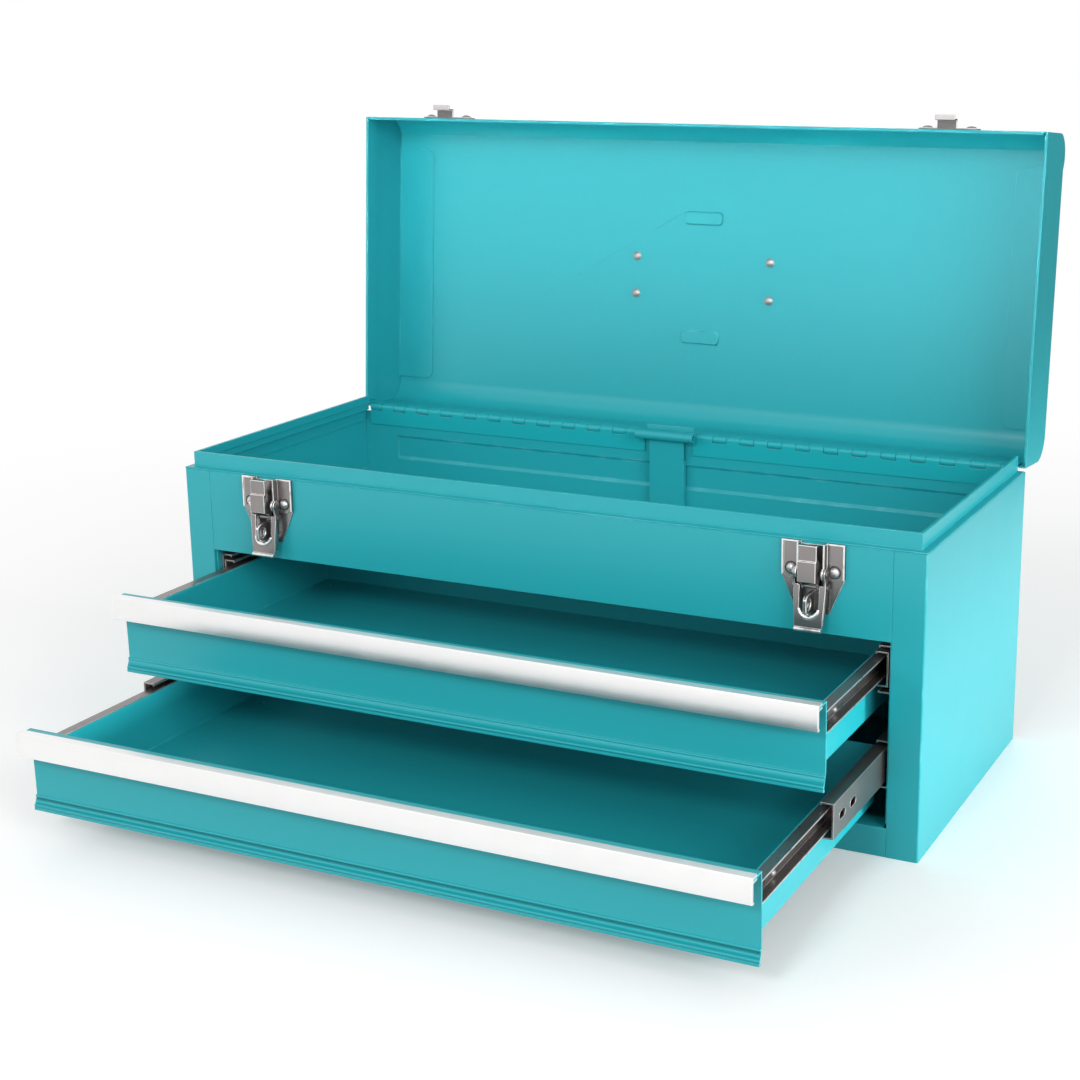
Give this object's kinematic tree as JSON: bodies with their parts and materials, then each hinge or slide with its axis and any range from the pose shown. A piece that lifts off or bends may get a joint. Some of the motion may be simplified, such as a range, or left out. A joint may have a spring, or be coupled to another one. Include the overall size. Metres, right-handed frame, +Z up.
{
  "type": "portable tool box with drawers",
  "caption": "Portable steel tool box with a lift lid on a piano hinge, an open top tray, draw latches and two shallow drawers on ball-bearing slides under bright pull strips.",
  "frame": {"origin": "centre of the cabinet's flat base", "axes": "+X to the right, -Y out of the front where the drawers open, +Z up"},
  "size_m": [0.52, 0.496, 0.4202],
  "materials": {
    "teal_paint": "semi-gloss enamel",
    "zinc_steel": "zinc plated, satin",
    "aluminium_strip": "anodised satin",
    "grip_plastic": "matte"
  },
  "bodies": {
    "cabinet": {"side_panel_left": "teal_paint", "side_panel_right": "teal_paint", "back_panel": "teal_paint", "bottom_pan": "teal_paint", "upper_front_panel": "teal_paint", "bottom_rail": "teal_paint", "tray_rim": "teal_paint", "tray_floor": "teal_paint", "slide_bracket_left": "teal_paint", "slide_bracket_right": "teal_paint", "hinge_body_leaf": "teal_paint", "hinge_pins": "zinc_steel", "upper_slide_outer_members": "zinc_steel", "lower_slide_outer_members": "zinc_steel", "slide_rivets": "zinc_steel", "latch_base_left": "zinc_steel", "latch_base_right": "zinc_steel", "latch_rivets": "zinc_steel", "latch_pivots": "zinc_steel", "padlock_staples": "zinc_steel", "lock_bar_guides": "teal_paint"},
    "lid": {"lid_shell": "teal_paint", "lid_end_left": "teal_paint", "lid_end_right": "teal_paint", "hinge_lid_leaf": "teal_paint", "strike_left": "zinc_steel", "strike_right": "zinc_steel", "strike_rivets": "zinc_steel", "handle_clips": "zinc_steel", "handle_rivets": "zinc_steel"},
    "handle": {"handle_bail": "zinc_steel", "handle_grip": "grip_plastic"},
    "upper_drawer": {"upper_drawer_tray": "teal_paint", "upper_drawer_front": "teal_paint", "upper_drawer_pull": "aluminium_strip", "upper_slide_inner_members": "zinc_steel", "upper_drawer_rivets": "zinc_steel"},
    "lower_drawer": {"lower_drawer_tray": "teal_paint", "lower_drawer_front": "teal_paint", "lower_drawer_pull": "aluminium_strip", "lower_slide_inner_members": "zinc_steel", "lower_drawer_rivets": "zinc_steel"},
    "upper_slides": {"upper_slide_middle_members": "zinc_steel"},
    "lower_slides": {"lower_slide_middle_members": "zinc_steel"},
    "upper_outer_cages": {"upper_outer_ball_cages": "zinc_steel"},
    "upper_inner_cages": {"upper_inner_ball_cages": "zinc_steel"},
    "lower_outer_cages": {"lower_outer_ball_cages": "zinc_steel"},
    "lower_inner_cages": {"lower_inner_ball_cages": "zinc_steel"},
    "lever_left": {"latch_lever_left": "zinc_steel", "claw_pin_left": "zinc_steel"},
    "lever_right": {"latch_lever_right": "zinc_steel", "claw_pin_right": "zinc_steel"},
    "claw_left": {"latch_claw_left": "zinc_steel"},
    "claw_right": {"latch_claw_right": "zinc_steel"},
    "lock_bar": {"drawer_lock_bar": "teal_paint"}
  },
  "joints": [
    {"name": "lid_hinge", "type": "hinge", "parent": "cabinet", "child": "lid", "pos_m": [0, 0.1105, 0.1905], "axis": [1, 0, 0], "range_deg": [0, 94.5]},
    {"name": "handle_pivot", "type": "hinge", "parent": "lid", "child": "handle", "pos_m": [0, 0.17649, 0.29615], "axis": [1, 0, 0], "range_deg": [-4.5, 175.5]},
    {"name": "upper_middle_slide", "type": "slide", "parent": "cabinet", "child": "upper_slides", "axis": [0, -1, 0], "range_m": [0, 0.0975]},
    {"name": "upper_drawer_slide", "type": "slide", "parent": "upper_slides", "child": "upper_drawer", "axis": [0, -1, 0], "range_m": [-0.097, 0.0005]},
    {"name": "upper_outer_cage_slide", "type": "slide", "parent": "cabinet", "child": "upper_outer_cages", "axis": [0, -1, 0], "range_m": [0, 0.04875]},
    {"name": "upper_inner_cage_slide", "type": "slide", "parent": "upper_slides", "child": "upper_inner_cages", "axis": [0, -1, 0], "range_m": [-0.0485, 0.00025]},
    {"name": "lower_middle_slide", "type": "slide", "parent": "cabinet", "child": "lower_slides", "axis": [0, -1, 0], "range_m": [-0.0905, 0.007]},
    {"name": "lower_drawer_slide", "type": "slide", "parent": "lower_slides", "child": "lower_drawer", "axis": [0, -1, 0], "range_m": [-0.0975, 0]},
    {"name": "lower_outer_cage_slide", "type": "slide", "parent": "cabinet", "child": "lower_outer_cages", "axis": [0, -1, 0], "range_m": [-0.04525, 0.0035]},
    {"name": "lower_inner_cage_slide", "type": "slide", "parent": "lower_slides", "child": "lower_inner_cages", "axis": [0, -1, 0], "range_m": [-0.04875, 0]},
    {"name": "lever_left_pivot", "type": "hinge", "parent": "cabinet", "child": "lever_left", "pos_m": [-0.192, -0.1162, 0.172], "axis": [-1, 0, 0], "range_deg": [-4, 104]},
    {"name": "claw_left_pivot", "type": "hinge", "parent": "lever_left", "child": "claw_left", "pos_m": [-0.192, -0.11449, 0.16346], "axis": [-1, 0, 0], "range_deg": [-114.4, 4.4]},
    {"name": "lever_right_pivot", "type": "hinge", "parent": "cabinet", "child": "lever_right", "pos_m": [0.192, -0.1162, 0.172], "axis": [-1, 0, 0], "range_deg": [-4, 104]},
    {"name": "claw_right_pivot", "type": "hinge", "parent": "lever_right", "child": "claw_right", "pos_m": [0.192, -0.11449, 0.16346], "axis": [-1, 0, 0], "range_deg": [-114.4, 4.4]},
    {"name": "lock_bar_slide", "type": "slide", "parent": "cabinet", "child": "lock_bar", "axis": [0, 0, 1], "range_m": [-0.005, 0]}
  ],
  "couplings": [
    {"joint": "upper_outer_cage_slide", "follows": "upper_middle_slide", "ratio": 0.5},
    {"joint": "upper_inner_cage_slide", "follows": "upper_drawer_slide", "ratio": 0.5},
    {"joint": "lower_outer_cage_slide", "follows": "lower_middle_slide", "ratio": 0.5},
    {"joint": "lower_inner_cage_slide", "follows": "lower_drawer_slide", "ratio": 0.5},
    {"joint": "claw_left_pivot", "follows": "lever_left_pivot", "ratio": -1.1},
    {"joint": "claw_right_pivot", "follows": "lever_right_pivot", "ratio": -1.1},
    {"joint": "lock_bar_slide", "follows": "lid_hinge", "m_per_rad": -0.003031}
  ]
}
